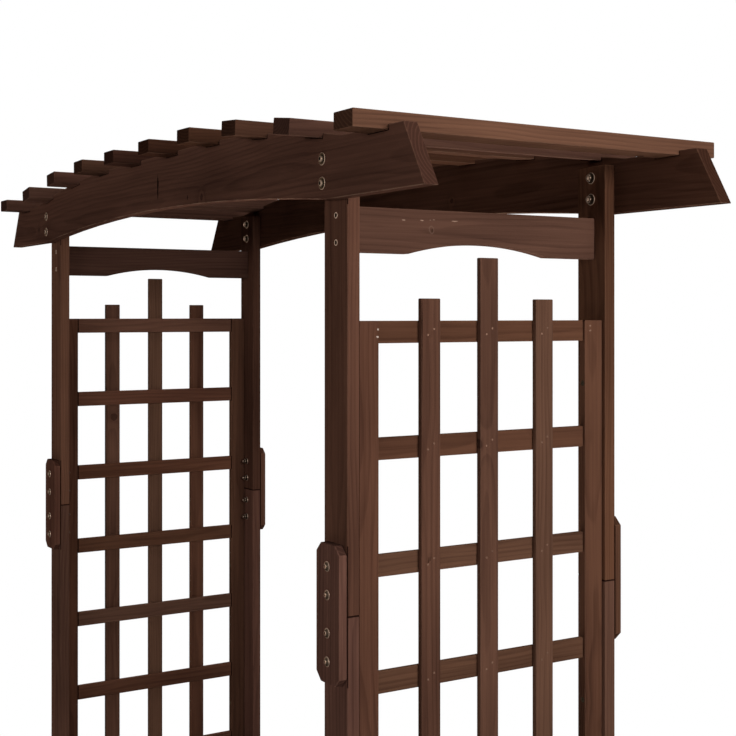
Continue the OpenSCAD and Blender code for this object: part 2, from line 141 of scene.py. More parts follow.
# Noises along, across and through a board: scale, detail, roughness
grainNoise = {
    "fibre": ((14.0, 1150.0, 1150.0), 2.0, 0.6),
    "streak": ((3.2, 190.0, 190.0), 3.0, 0.6),
    "cloud": ((2.4, 14.0, 14.0), 2.0, 0.5),
    "bend": ((1.5, 6.0, 6.0), 2.0, 0.5),
    "ripple": ((9.0, 40.0, 40.0), 2.0, 0.5),
    "knotEdge": ((160.0, 160.0, 160.0), 2.0, 0.5),
    "rubbingAndHighlight": ((28.0, 60.0, 60.0), 3.0, 0.65),
}
knot = {
    "cell": (0.42, 0.085), "scatter": 0.8, "smallest": 0.0035, "spread": 0.006, "wobble": 0.004,
    "coreFade": (0.72, 1.05), "rimFade": (0.02, 0.28), "swirl": 0.012, "swirlBase": 2.718, "swirlFall": -0.55,
    "heart": (0.02, 0.009, 0.007, 1.0), "heartShare": 0.55, "coreShare": 0.62, "rimShare": 0.75,
}
growth = {
    "pithAcross": 0.08, "pithNear": 0.022, "pithSpread": 0.045, "bend": 0.040, "ripple": 0.0032,
    "earlyWood": 0.12, "stops": [(0.45, 0.22), (0.84, 1.0), (0.93, 0.85)],
}
stain = {
    "seedShift": (31.0, 17.0, 0.0), "depth": 0.38,
    "streak": 0.75, "fibre": 0.30, "ring": 0.22, "cloud": 1.15,
    "soaked": (0.66, 0.63, 0.61, 1.0), "soakedShare": 0.78, "lateSharpness": 2.0, "lateShare": 0.30,
    "hueSpread": 0.010, "hueLow": 0.494, "saturationSpread": 0.14, "saturationLow": 0.90,
    "grooveShade": (0.008, 0.003, 0.002, 1.0), "grooveShadeShare": 0.85, "rubbedAndHighlitFade": (0.34, 0.60),
}
surface = {
    "rough": 0.46, "fibreRough": 0.20, "endRough": 0.14, "rubbedAndHighlitRough": 0.12,
    "fibreHeight": 0.8, "streakHeight": 0.7, "ringHeight": 0.30, "rimHeight": 0.8, "depth": 0.0007,
}


def grey(value):
    return value, value, value, 1.0


def makeFirGroup():
    group, given, result = newGroup("firGrain", [
        ("Grain", "Vector", None), ("Seed", "Vector", None), ("Face", "Vector", None),
        ("Light Wood", "Color", None), ("Dark Wood", "Color", None), ("Worn And Highlit Wood", "Color", None),
        ("Ring Width", "Float", 0.005), ("Knots", "Float", 0.3), ("Wear And Highlight", "Float", 0.5),
    ], [("Color", "Color"), ("Roughness", "Float"), ("Height", "Float")])
    moved = vectorCalc(group, "MULTIPLY_ADD", given["Seed"], stain["seedShift"], given["Grain"])
    across, through = split(group, given["Grain"])[1:3]
    firstDice, secondDice, tone = split(group, given["Seed"])
    edge, sawnEnd, grooveShade = split(group, given["Face"])

    # Knots: cells on the wide face, of which only some hold one
    flat = vectorCalc(group, "DIVIDE", moved, (*knot["cell"], 1.0))
    cells = addNode(group, "TexVoronoi", {"Vector": flat, "Scale": 1.0, "Randomness": knot["scatter"]},
                    {"voronoi_dimensions": "2D"}).outputs
    gap = vectorCalc(group, "SUBTRACT", flat, cells["Position"])
    gap = vectorCalc(group, "MULTIPLY", gap, (*knot["cell"], 0.0))
    wobble = centred(group, noise(group, moved, *grainNoise["knotEdge"]), knot["wobble"])
    chance = addNode(group, "SeparateColor", {0: cells["Color"]}).outputs
    present = calc(group, "LESS_THAN", chance[0], given["Knots"])
    size = calc(group, "MULTIPLY_ADD", chance[1], knot["spread"], knot["smallest"])
    ratio = calc(group, "DIVIDE", plus(group, lengthOf(group, gap), wobble), size)
    core = times(group, present, fallOff(group, ratio, *knot["coreFade"]))
    fromRim = calc(group, "ABSOLUTE", minus(group, ratio, 1.0))
    rim = times(group, present, fallOff(group, fromRim, *knot["rimFade"]))
    swirl = calc(group, "POWER", knot["swirlBase"], times(group, ratio, knot["swirlFall"]))
    swirl = times(group, present, times(group, knot["swirl"], swirl))

    # Growth rings round a pith beside the board
    wide = minus(group, across, centred(group, firstDice, growth["pithAcross"]))
    thin = calc(group, "MULTIPLY_ADD", secondDice, growth["pithSpread"], growth["pithNear"])
    thin = minus(group, through, thin)
    far = calc(group, "SQRT", plus(group, times(group, wide, wide), times(group, thin, thin)))
    bend = centred(group, noise(group, moved, *grainNoise["bend"]), growth["bend"])
    ripple = centred(group, noise(group, moved, *grainNoise["ripple"]), growth["ripple"])
    far = plus(group, plus(group, far, bend), plus(group, ripple, swirl))
    phase = calc(group, "FRACT", calc(group, "DIVIDE", far, given["Ring Width"]))
    ramp = addNode(group, "ValToRGB", {0: phase})
    stops = ramp.color_ramp.elements
    for stop in (stops[0], stops[1]):
        stop.color = grey(growth["earlyWood"])
    for place, value in growth["stops"]:
        stops.new(place).color = grey(value)
    ring = ramp.outputs[0]

    # Fibres, bands of stain and slow clouds
    fibre = noise(group, moved, *grainNoise["fibre"])
    streak = noise(group, moved, *grainNoise["streak"])
    cloud = noise(group, moved, *grainNoise["cloud"])
    depth = plus(group, stain["depth"], centred(group, streak, stain["streak"]))
    depth = plus(group, depth, centred(group, fibre, stain["fibre"]))
    depth = plus(group, depth, times(group, ring, stain["ring"]))
    depth = plus(group, depth, centred(group, cloud, stain["cloud"]), clamp=True)
    color = blend(group, depth, given["Light Wood"], given["Dark Wood"])
    heart = blend(group, knot["heartShare"], given["Dark Wood"], knot["heart"])
    color = blend(group, times(group, core, knot["coreShare"]), color, heart)
    color = blend(group, times(group, rim, knot["rimShare"]), color, heart)

    # Sawn ends drink more stain, and their late wood stands out pale
    soaked = blend(group, 1.0, given["Dark Wood"], stain["soaked"], "MULTIPLY")
    color = blend(group, times(group, sawnEnd, stain["soakedShare"]), color, soaked)
    late = times(group, sawnEnd, calc(group, "POWER", ring, stain["lateSharpness"]))
    color = blend(group, times(group, late, stain["lateShare"]), color, given["Light Wood"])

    # Each board takes the stain in its own way, and on the listed boards the tone also holds painted shade
    # and painted light
    shade = addNode(group, "CombineColor", {0: tone, 1: tone, 2: tone}).outputs[0]
    color = blend(group, 1.0, color, shade, "MULTIPLY")
    hue = calc(group, "MULTIPLY_ADD", firstDice, stain["hueSpread"], stain["hueLow"])
    saturation = calc(group, "MULTIPLY_ADD", secondDice, stain["saturationSpread"], stain["saturationLow"])
    color = addNode(group, "HueSaturation", {"Hue": hue, "Saturation": saturation, "Color": color}).outputs[0]

    # Painted shade fills the grooves where two boards meet
    color = blend(group, times(group, grooveShade, stain["grooveShadeShare"]), color, stain["grooveShade"])

    # Rubbed edges in patches, and a painted highlight on bevels that face down, strongest on the roof beams
    patch = smoothStep(group, noise(group, moved, *grainNoise["rubbingAndHighlight"]), *stain["rubbedAndHighlitFade"])
    rubbedAndHighlit = times(group, times(group, edge, patch), given["Wear And Highlight"])
    color = blend(group, rubbedAndHighlit, color, given["Worn And Highlit Wood"])

    rough = calc(group, "MULTIPLY_ADD", fibre, surface["fibreRough"], surface["rough"])
    rough = plus(group, rough, times(group, sawnEnd, surface["endRough"]))
    rough = plus(group, rough, times(group, rubbedAndHighlit, surface["rubbedAndHighlitRough"]))
    height = times(group, fibre, surface["fibreHeight"])
    height = plus(group, height, times(group, streak, surface["streakHeight"]))
    height = minus(group, height, times(group, ring, surface["ringHeight"]))
    height = minus(group, height, times(group, rim, surface["rimHeight"]))
    wire(group, result["Color"], color)
    wire(group, result["Roughness"], rough)
    wire(group, result["Height"], height)
    return group


scuff, oldScuff = (0.40, 0.26, 0.19), (0.27, 0.17, 0.12)
crack, nailShine = (0.006, 0.003, 0.002), (0.62, 0.5, 0.42)
nailHead = (0.006, 0.0018, 0.0018)
markShape = {"noise": 130.0, "detail": 2.0, "bend": (0.006, 0.006, 0.0016), "full": 0.55, "leastInner": 0.001}
railMarks = [
    {"place": (0.590, -0.1286, 1.9007), "reach": (0.006, 0.0034, 0.0008), "color": scuff, "strength": 0.75},
    {"place": (0.590, -0.0989, 1.9012), "reach": (0.006, 0.0036, 0.0008), "color": scuff, "strength": 0.80},
    {"place": (0.590, -0.0858, 1.9020), "reach": (0.006, 0.0022, 0.0006), "color": scuff, "strength": 0.50},
    {"place": (0.590, -0.0791, 1.9029), "reach": (0.006, 0.0024, 0.0006), "color": scuff, "strength": 0.50},
    {"place": (0.590, -0.0444, 1.9022), "reach": (0.006, 0.0060, 0.0008), "color": scuff, "strength": 0.75},
    {"place": (0.590, -0.0827, 1.8888), "reach": (0.009, 0.0052, 0.0068), "color": oldScuff, "strength": 0.35,
     "inner": 0.75},
    {"place": (0.590, -0.0815, 1.8880), "reach": (0.009, 0.0026, 0.0034), "color": crack, "strength": 0.40},
]
beamMarks = [
    {"place": (0.020, -0.250, 1.987), "reach": (0.0036, 0.006, 0.026), "color": crack, "strength": 0.95},
    {"place": (0.143, -0.250, 1.960), "reach": (0.0026, 0.006, 0.005), "color": crack, "strength": 0.75},
]
stileMarks = [
    {"place": (0.6055, -0.1796, 1.7531), "reach": nailHead, "color": nailShine, "strength": 0.8},
    {"place": (0.6055, -0.1796, 1.7432), "reach": nailHead, "color": nailShine, "strength": 0.8},
    {"place": (0.6063, 0.1873, 1.7564), "reach": (0.006, 0.0020, 0.0016), "color": scuff, "strength": 0.40},
    {"place": (0.6063, 0.1873, 1.7492), "reach": (0.006, 0.0020, 0.0016), "color": scuff, "strength": 0.40},
]


# A small mark on one board: a filled spot, or a ring where Inner is above nought
def makeMarkGroup():
    group, given, result = newGroup("surfaceMark", [
        ("Color", "Color", None), ("Coordinate", "Vector", None), ("Place", "Vector", None),
        ("Reach", "Vector", None), ("Inner", "Float", 0.0), ("Mark", "Color", None),
        ("Strength", "Float", 0.5),
    ], [("Color", "Color")])
    bent = addNode(group, "TexNoise", {"Vector": given["Coordinate"], "Scale": markShape["noise"],
                                       "Detail": markShape["detail"]})
    shift = vectorCalc(group, "SUBTRACT", bent.outputs["Color"], (0.5, 0.5, 0.5))
    shift = vectorCalc(group, "MULTIPLY", shift, markShape["bend"])
    offset = vectorCalc(group, "ADD", given["Coordinate"], shift)
    offset = vectorCalc(group, "SUBTRACT", offset, given["Place"])
    far = lengthOf(group, vectorCalc(group, "DIVIDE", offset, given["Reach"]))
    spot = fallOff(group, far, markShape["full"], 1.0)
    isRing = calc(group, "GREATER_THAN", given["Inner"], markShape["leastInner"])
    hollow = times(group, isRing, fallOff(group, far, markShape["full"], given["Inner"]))
    share = times(group, minus(group, spot, hollow, clamp=True), given["Strength"])
    wire(group, result["Color"], blend(group, share, given["Color"], given["Mark"]))
    return group


# worn is the colour of rubbed edges and of the painted highlight on bevels that face down
fir = {
    "light": (0.160, 0.0705, 0.0425), "dark": (0.049, 0.0208, 0.0133), "wornAndHighlight": (0.25, 0.150, 0.100),
    "ringWidth": 0.0052, "knots": 0.34, "wearAndHighlight": 0.60, "bump": 0.22,
}
trellis = {
    "light": (0.172, 0.0775, 0.0455), "dark": (0.050, 0.0215, 0.0135), "wornAndHighlight": (0.25, 0.150, 0.100),
    "ringWidth": 0.0044, "knots": 0.22, "wearAndHighlight": 0.60, "bump": 0.22,
}


def newMaterial(name):
    material = bpy.data.materials.new(name)
    material.use_nodes = True
    return material, material.node_tree


def makeWood(name, values, group, markGroup, marks):
    material, tree = newMaterial(name)
    shader = tree.nodes["Principled BSDF"]
    made = addNode(tree, "Group", None, {"node_tree": group})
    for label, source in [("Grain", "grain"), ("Seed", "boardSeed"), ("Face", "faceKind")]:
        read = addNode(tree, "Attribute", None, {"attribute_name": source})
        wire(tree, made.inputs[label], read.outputs["Vector"])
    for label, key in [("Light Wood", "light"), ("Dark Wood", "dark"), ("Worn And Highlit Wood", "wornAndHighlight")]:
        made.inputs[label].default_value = (*values[key], 1.0)
    for label, key in [("Ring Width", "ringWidth"), ("Knots", "knots"), ("Wear And Highlight", "wearAndHighlight")]:
        made.inputs[label].default_value = values[key]
    bump = addNode(tree, "Bump", {"Strength": values["bump"], "Distance": surface["depth"],
                                  "Height": made.outputs["Height"]})
    color = made.outputs["Color"]
    place = addNode(tree, "TexCoord").outputs["Object"]
    for mark in marks:
        spot = addNode(tree, "Group", None, {"node_tree": markGroup})
        for label, value in [("Color", color), ("Coordinate", place), ("Place", mark["place"]),
                             ("Reach", mark["reach"]), ("Inner", mark.get("inner", 0.0)),
                             ("Mark", (*mark["color"], 1.0)), ("Strength", mark["strength"])]:
            wire(tree, spot.inputs[label], value)
        color = spot.outputs["Color"]
    wire(tree, shader.inputs["Base Color"], color)
    wire(tree, shader.inputs["Roughness"], made.outputs["Roughness"])
    wire(tree, shader.inputs["Normal"], bump.outputs[0])
    shader.inputs["Specular IOR Level"].default_value = 0.0    # a dry stain, without shine
    return material


# The dark metal colour is a painted reflection of dark surroundings; bright is the colour of worn rims and
# painted highlights
plating = {
    "color": (0.040, 0.029, 0.019), "bright": (0.36, 0.25, 0.185), "tarnish": (0.012, 0.008, 0.005),
    "roughness": 0.32,
}
nail = {
    "color": (0.19, 0.108, 0.074), "bright": (0.30, 0.20, 0.15), "tarnish": (0.07, 0.036, 0.024),
    "roughness": 0.5,
}
zinc = {
    "cloud": ((330.0, 330.0, 330.0), 3.0, 0.6), "cloudFade": (0.40, 0.66),
    "cloudShare": 0.55, "cloudRough": 0.18,
    "speck": ((1900.0, 1900.0, 1900.0), 2.0, 0.6), "speckShare": 0.25, "speckRough": 0.10,
    "bump": 0.12, "bumpDepth": 0.0001, "tint": (0.74, 0.59, 0.51, 1.0),
}


def makePlatingGroup():
    group, given, result = newGroup("zincPlating", [
        ("Coordinate", "Vector", None), ("Rim", "Float", 0.0), ("Metal", "Color", None),
        ("Bright", "Color", None), ("Tarnish", "Color", None), ("Base Roughness", "Float", 0.35),
    ], [("Color", "Color"), ("Roughness", "Float"), ("Height", "Float")])
    cloud = smoothStep(group, noise(group, given["Coordinate"], *zinc["cloud"]), *zinc["cloudFade"])
    speck = noise(group, given["Coordinate"], *zinc["speck"])
    color = blend(group, times(group, cloud, zinc["cloudShare"]), given["Metal"], given["Tarnish"])
    color = blend(group, times(group, speck, zinc["speckShare"]), color, given["Tarnish"])
    # Rim lays on the bright colour: worn plating and painted highlights
    color = blend(group, given["Rim"], color, given["Bright"])
    rough = plus(group, given["Base Roughness"], times(group, cloud, zinc["cloudRough"]))
    rough = plus(group, rough, times(group, speck, zinc["speckRough"]))
    wire(group, result["Color"], color)
    wire(group, result["Roughness"], rough)
    wire(group, result["Height"], speck)
    return group


def makePlating(name, values, group):
    material, tree = newMaterial(name)
    shader = tree.nodes["Principled BSDF"]
    made = addNode(tree, "Group", None, {"node_tree": group})
    rim = addNode(tree, "Attribute", None, {"attribute_name": "rimKind"})
    wire(tree, made.inputs["Coordinate"], addNode(tree, "TexCoord").outputs["Object"])
    wire(tree, made.inputs["Rim"], rim.outputs["Fac"])
    for label, key in [("Metal", "color"), ("Bright", "bright"), ("Tarnish", "tarnish")]:
        made.inputs[label].default_value = (*values[key], 1.0)
    made.inputs["Base Roughness"].default_value = values["roughness"]
    bump = addNode(tree, "Bump", {"Strength": zinc["bump"], "Distance": zinc["bumpDepth"],
                                  "Height": made.outputs["Height"]})
    wire(tree, shader.inputs["Base Color"], made.outputs["Color"])
    wire(tree, shader.inputs["Roughness"], made.outputs["Roughness"])
    wire(tree, shader.inputs["Normal"], bump.outputs[0])
    shader.inputs["Metallic"].default_value = 1.0
    shader.inputs["Specular Tint"].default_value = zinc["tint"]
    return material


# Reading the solids of a node
def readNode(name):
    work = bmesh.new()
    work.from_mesh(frame["nodes"][name].data)
    bmesh.ops.remove_doubles(work, verts=work.verts, dist=1e-6)
    return work


def islandsOf(work):
    seen, found = set(), []
    for first in work.verts:
        if first in seen:
            continue
        seen.add(first)
        group, queue = [], [first]
        while queue:
            vert = queue.pop()
            group.append(vert)
            for edge in vert.link_edges:
                other = edge.other_vert(vert)
                if other not in seen:
                    seen.add(other)
                    queue.append(other)
        found.append(group)
    return found


def boxOf(verts):
    low = Vector([min(v.co[i] for v in verts) for i in range(3)])
    high = Vector([max(v.co[i] for v in verts) for i in range(3)])
    return low, high


def finishPiece(work, name, material, node, sharpAngle):
    bmesh.ops.recalc_face_normals(work, faces=work.faces)
    mesh = bpy.data.meshes.new(name)
    for face in work.faces:
        face.smooth = True
    work.to_mesh(mesh)
    work.free()
    mesh.set_sharp_from_angle(angle=math.radians(sharpAngle))
    mesh.materials.append(material)
    made = bpy.data.objects.new(name, mesh)
    bpy.context.scene.collection.objects.link(made)
    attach(made, "root")
    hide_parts(node)


board = {
    "edge": 0.0013, "segments": 3, "shortest": 0.0045, "sharp": 35.0, "flat": 0.2, "smooth": 12.0,
    "touch": 0.0016, "postTouch": 0.0075, "margin": 0.003,     # how near a neighbour makes a groove of painted shade
    "endFacing": 0.55, "roundedEndFacing": 0.75,               # how squarely a face must look along the board
    "downFacing": -0.3, "tipFacing": 0.2, "highlightBelow": 1.0, "rubTips": 0.1, "rubSides": 0.3,
    "toneLow": 0.90, "toneSpread": 0.18,
}
# How strongly each board's edges are rubbed and painted with highlight, strongest on the roof beams' lower
# edges
wearAndHighlight = {"front_roof_beam": 1.0, "rear_roof_beam": 0.9, "other": 0.30}
# Tones of single boards: their stain, plus painted shade and painted light set for how light falls on each,
# darkest for the rear beam under the roof, the roof slats their neighbours shade and the left side
boardToneAndPaintedLight = {
    "left_rear_upper_post": 0.60, "left_front_upper_post": 1.20, "right_front_upper_post": 0.95,
    "left_side_rail": 0.66, "right_side_rail": 0.83, "front_roof_beam": 0.93, "rear_roof_beam": 0.67,
    "left_trellis_rear_stile": 0.72, "left_trellis_front_stile": 0.82, "left_trellis_rails": 1.01,
    "left_trellis_middle_slat": 0.97, "left_trellis_rear_slat": 0.95,
    "right_trellis_front_stile": 0.92, "right_trellis_front_slat": 0.83, "right_trellis_rear_slat": 0.89,
    "right_trellis_rails": 0.87,
    "roof_slat_4": 0.73, "roof_slat_5": 0.55, "roof_slat_6": 0.57, "roof_slat_7": 0.71, "roof_slat_8": 0.72,
    "roof_slat_9": 0.96,
}
curved = ("front_roof_beam", "rear_roof_beam", "left_side_rail", "right_side_rail")


def measureBoards(names):
    boards = []
    for name in names:
        work = readNode(name)
        tree = BVHTree.FromBMesh(work)
        boards += [(name, *boxOf(verts), tree) for verts in islandsOf(work)]
        work.free()
    return boards


def neighboursOf(name, low, high, boards):
    reach = board["touch"]
    return [other for other in boards if other[0] != name
            and all(other[1][i] < high[i] + reach and other[2][i] > low[i] - reach for i in range(3))]


# Cuts a board's long edges where its neighbours begin and end, so that a groove's painted shade can end there
def cutAtNeighbours(work, name, boards):
    for verts in islandsOf(work):
        low, high = boxOf(verts)
        size = high - low
        axis = max(range(3), key=lambda i: size[i])
        normal = Vector([1.0 if i == axis else 0.0 for i in range(3)])
        near = neighboursOf(name, low, high, boards)
        places = {round(side[axis], 4) for other in near for side in other[1:3]}
        members = set(verts)
        for place in sorted(places):
            if low[axis] + board["margin"] < place < high[axis] - board["margin"]:
                faces = [face for face in work.faces if face.verts[0] in members]
                edges = {edge for face in faces for edge in face.edges}
                cut = bmesh.ops.bisect_plane(work, geom=faces + list(edges), plane_co=normal * place,
                                             plane_no=normal)
                members.update(item for item in cut["geom_cut"] if isinstance(item, bmesh.types.BMVert))


# Bevels that face down get a painted highlight; tips and sides are rubbed
def rubbingOf(face, axis):
    if face.normal.z < board["downFacing"]:
        return board["highlightBelow"]
    return board["rubTips"] if abs(face.normal[axis]) > board["tipFacing"] else board["rubSides"]


# Writes where a board's grain runs, its dice and tone, and what each face is: rubbed edge with painted
# highlight, sawn end, or groove with painted shade
def roundBoards(name, material, boards):
    work = readNode(name)
    bmesh.ops.dissolve_limit(work, angle_limit=math.radians(board["flat"]), verts=work.verts,
                             edges=work.edges)
    if name not in curved:
        cutAtNeighbours(work, name, boards)
    corners = [edge for edge in work.edges
               if len(edge.link_faces) == 2 and edge.calc_length() > board["shortest"]
               and edge.calc_face_angle(0.0) > math.radians(board["sharp"])]
    made = bmesh.ops.bevel(work, geom=corners, offset=board["edge"], offset_type="OFFSET",
                           segments=board["segments"], profile=0.5, affect="EDGES", material=-1)
    rounded = set(made["faces"])
    grainLayer = work.verts.layers.float_vector.new("grain")
    seedLayer = work.verts.layers.float_vector.new("boardSeed")
    faceLayer = work.loops.layers.float_vector.new("faceKind")
    rubbingAndHighlight = wearAndHighlight.get(name, wearAndHighlight["other"])
    # Front posts reach further, so that painted shade also falls on their edge beside the stile set back
    # behind it
    grooveShadeReach = board["postTouch"] if "front" in name and name.endswith("_post") else board["touch"]
    for number, verts in enumerate(islandsOf(work)):
        low, high = boxOf(verts)
        near = neighboursOf(name, low, high, boards)
        size, middle = high - low, (low + high) / 2
        order = sorted(range(3), key=lambda i: -size[i])
        dice = random.Random(name + str(number))
        first, second = dice.random(), dice.random()
        # A listed tone holds painted shade and painted light; other boards get a random tone
        tone = boardToneAndPaintedLight.get(name, board["toneLow"] + board["toneSpread"] * dice.random())
        axis = order[0]
        faces = set()
        for vert in verts:
            offset = vert.co - middle
            vert[grainLayer] = Vector([offset[i] for i in order])
            vert[seedLayer] = Vector((first, second, tone))
            faces.update(vert.link_faces)
        for face in faces:
            endFacing = board["roundedEndFacing"] if face in rounded else board["endFacing"]
            sawnEnd = 1.0 if abs(face.normal[axis]) > endFacing else 0.0
            edge, grooveShade = 0.0, 0.0
            if face in rounded:
                point = face.calc_center_median()
                grooveShade = 1.0 if any(other[3].find_nearest(point, grooveShadeReach)[0] for other in near) else 0.0
                edge = rubbingAndHighlight * (1.0 - grooveShade) * rubbingOf(face, axis)
            for loop in face.loops:
                loop[faceLayer] = Vector((edge, sawnEnd, grooveShade))
    finishPiece(work, "board_" + name, material, name, board["smooth"])


# Turned fasteners. A ring is its height, radius, cut and shade: a cut is None where it is round, "hex" for
# six flats, or the radius that trims the corners of six flats, and a shade is how bright the ring is painted,
# for worn plating and painted highlights
turning = {
    "sides": 36, "shank": 0.003, "pitch": 0.001, "threadDepth": 0.00034, "threadLength": 0.017,
    "runIn": 0.0002, "tipShoulder": 0.97,
}
# tipShades, beamShades and spliceShades are painted highlights on the bolts' tail and head rings
bolt = {
    "headRadius": 0.0055, "headHeight": 0.0034, "headEdge": 0.0003, "underHead": -0.0001,
    "domeShare": 1.3, "domeSteps": 8, "lipShare": 1.22,
    "keyRadius": 0.0022, "keyDepth": 0.0018, "keyFloor": 0.0003, "keyFloorShare": 0.4,
    "keySteps": [(0.00025, 1.02), (0.0005, 0.97), (0.0018, 0.95)],
    "tipLength": 0.0006, "tipShare": 0.7, "tipShades": (1.0, 0.5), "smooth": 40.0,
    "beamShades": (0, 0, 0, 0, 0.05, 0.15, 0.35, 0.5, 0.55, 0.6, 0.6, 0.3, 0, 0, 0),
    "spliceShades": (0.9, 0.8, 0.3, 0.05, 0, 0, 0, 0, 0.05, 0.3, 0.8, 0.9, 0.9, 0.8, 0.7),
}
sideScrew = {
    "tipLength": 0.006, "tipShare": 0.2, "tipShades": (0.0, 0.0), "smooth": 40.0,
    "head": [(-0.0041, 0.003, None, 0.0), (-0.004, 0.0043, None, 0.0), (-0.0038, 0.0045, None, 0.0),
             (-0.0005, 0.0045, None, 0.0), (-0.0001, 0.0042, None, 1.0), (0.0, 0.0038, None, 1.0),
             (0.0, 0.0033, None, 1.0), (-0.0003, 0.0026, "hex", 0.0), (-0.0026, 0.0024, "hex", 0.0),
             (-0.0028, 0.001, None, 0.0)],
}
nut = {"bore": 0.00305, "mouth": 0.0034, "lead": 0.0003, "chamfer": 0.0006, "flats": 0.0008,
       "faceTrim": 1.03, "cornerTrim": 1.13, "faceShade": 0.8, "flatShade": 0.2, "smooth": 30.0}
washer = {"bore": 0.00326, "soft": 0.0004, "flat": 0.0008, "rimShade": 1.0, "smooth": 30.0}


def hexRadius(apothem, angle):
    return apothem / math.cos((angle % (math.pi / 3)) - math.pi / 6)


# Spins the rings' outline round local Z, presses the hexagons into it and lays it along world Y
def turnFastener(work, rings, seat, outward, closed):
    single = bmesh.new()
    shadeLayer = single.verts.layers.float.new("rimKind")
    ringLayer = single.verts.layers.int.new("ringNumber")
    outline = []
    for number, (height, radius, cut, shade) in enumerate(rings):
        vert = single.verts.new((radius, 0.0, height))
        vert[shadeLayer] = shade
        vert[ringLayer] = number
        outline.append(vert)
    followers = outline[1:] + (outline[:1] if closed else [])
    edges = [single.edges.new(pair) for pair in zip(outline, followers)]
    bmesh.ops.spin(single, geom=outline + edges, cent=(0.0, 0.0, 0.0), axis=(0.0, 0.0, 1.0),
                   dvec=(0.0, 0.0, 0.0), angle=2 * math.pi, steps=turning["sides"], use_merge=True)
    for vert in single.verts:
        _, radius, cut, _ = rings[vert[ringLayer]]
        if cut:
            reach = hexRadius(radius, math.atan2(vert.co.y, vert.co.x))
            share = (reach if cut == "hex" else min(reach, cut)) / radius
            vert.co = Vector((vert.co.x * share, vert.co.y * share, vert.co.z))
    if not closed:
        rims = [edge for edge in single.edges if edge.is_boundary]
        bmesh.ops.holes_fill(single, edges=rims, sides=turning["sides"])
    single.verts.layers.int.remove(ringLayer)
    turned = Matrix(((-outward, 0.0, 0.0), (0.0, 0.0, outward), (0.0, 1.0, 0.0))).to_4x4()
    bmesh.ops.transform(single, matrix=Matrix.Translation(seat) @ turned, verts=single.verts)
    mesh = bpy.data.meshes.new("single")
    single.to_mesh(mesh)
    single.free()
    work.from_mesh(mesh)
    bpy.data.meshes.remove(mesh)


def threadRings(tail, values):
    shank, pitch = turning["shank"], turning["pitch"]
    shoulder = tail + values["tipLength"]
    tipShade, shoulderShade = values["tipShades"]
    rings = [(tail, shank * values["tipShare"], None, tipShade),
             (shoulder, shank * turning["tipShoulder"], None, shoulderShade)]
    start = shoulder + turning["runIn"]
    count = int(turning["threadLength"] / pitch)
    for turn in range(count):
        height = start + turn * pitch
        rings.append((height, shank, None, 0.0))
        rings.append((height + pitch * 0.5, shank - turning["threadDepth"], None, 0.0))
    return rings + [(start + count * pitch, shank, None, 0.0)]


def domeRings(shades):
    head, top, key = bolt["headRadius"], bolt["headHeight"], bolt["keyRadius"]
    dome, lip = head * bolt["domeShare"], key * bolt["lipShare"]
    rings = [(0.0, head - bolt["headEdge"], None), (bolt["headEdge"], head, None)]
    for step in range(bolt["domeSteps"] + 1):
        radius = head + (lip - head) * step / bolt["domeSteps"]
        rings.append((top - dome + math.sqrt(dome ** 2 - radius ** 2), radius, None))
    rings += [(top - depth, key * share, "hex") for depth, share in bolt["keySteps"]]
    rings.append((top - bolt["keyDepth"] - bolt["keyFloor"], key * bolt["keyFloorShare"], None))
    return [(*ring, shade) for ring, shade in zip(rings, shades)]


# The seat of a fastener whose head looks away from the middle of the arbour
def seatOf(low, high, below):
    outward = 1.0 if low.y + high.y > 0 else -1.0
    tip = high.y if outward > 0 else low.y
    return Vector(((low.x + high.x) / 2, tip - outward * below, (low.z + high.z) / 2)), outward


def domedBolt(low, high, shades):
    seat, outward = seatOf(low, high, bolt["headHeight"])
    rings = threadRings(bolt["headHeight"] - (high.y - low.y), bolt)
    rings.append((bolt["underHead"], turning["shank"], None, 0.0))
    return rings + domeRings(shades), seat, outward, False


def countersunkScrew(low, high):
    seat, outward = seatOf(low, high, 0.0)
    return threadRings(low.y - high.y, sideScrew) + sideScrew["head"], seat, outward, False


def hexNut(low, high):
    seat, outward = seatOf(low, high, 0.0)
    height = high.y - low.y
    apothem = min(high.x - low.x, high.z - low.z) / 2
    face, corner = apothem * nut["faceTrim"], apothem * nut["cornerTrim"]
    rings = [(nut["lead"], nut["bore"], None, 0.0), (0.0, nut["mouth"], None, 0.0), (0.0, apothem, face, 0.0),
             (nut["chamfer"], apothem, corner, 0.0), (nut["flats"], apothem, "hex", 0.0),
             (height - nut["flats"], apothem, "hex", nut["flatShade"]),
             (height - nut["chamfer"], apothem, corner, nut["faceShade"]),
             (height, apothem, face, nut["faceShade"]),
             (height, nut["mouth"], None, 0.0), (height - nut["lead"], nut["bore"], None, 0.0)]
    return rings, seat, -outward, True


def flatWasher(low, high):
    thickness, radius = high.y - low.y, (high.x - low.x) / 2
    seat = Vector(((low.x + high.x) / 2, low.y, (low.z + high.z) / 2))
    bore, soft, flat, shade = washer["bore"], washer["soft"], washer["flat"], washer["rimShade"]
    rings = [(0.0, bore, None, 0.0), (0.0, radius - flat, None, 0.0), (0.0, radius - soft, None, shade),
             (soft, radius, None, shade), (thickness - soft, radius, None, shade),
             (thickness, radius - soft, None, shade), (thickness, radius - flat, None, 0.0),
             (thickness, bore, None, 0.0)]
    return rings, seat, 1.0, True


def makeTurned(name, material, layOut, sharpAngle, *details):
    work = bmesh.new()
    work.verts.layers.float.new("rimKind")
    source = readNode(name)
    for verts in islandsOf(source):
        turnFastener(work, *layOut(*boxOf(verts), *details))
    source.free()
    finishPiece(work, "turned_" + name, material, name, sharpAngle)


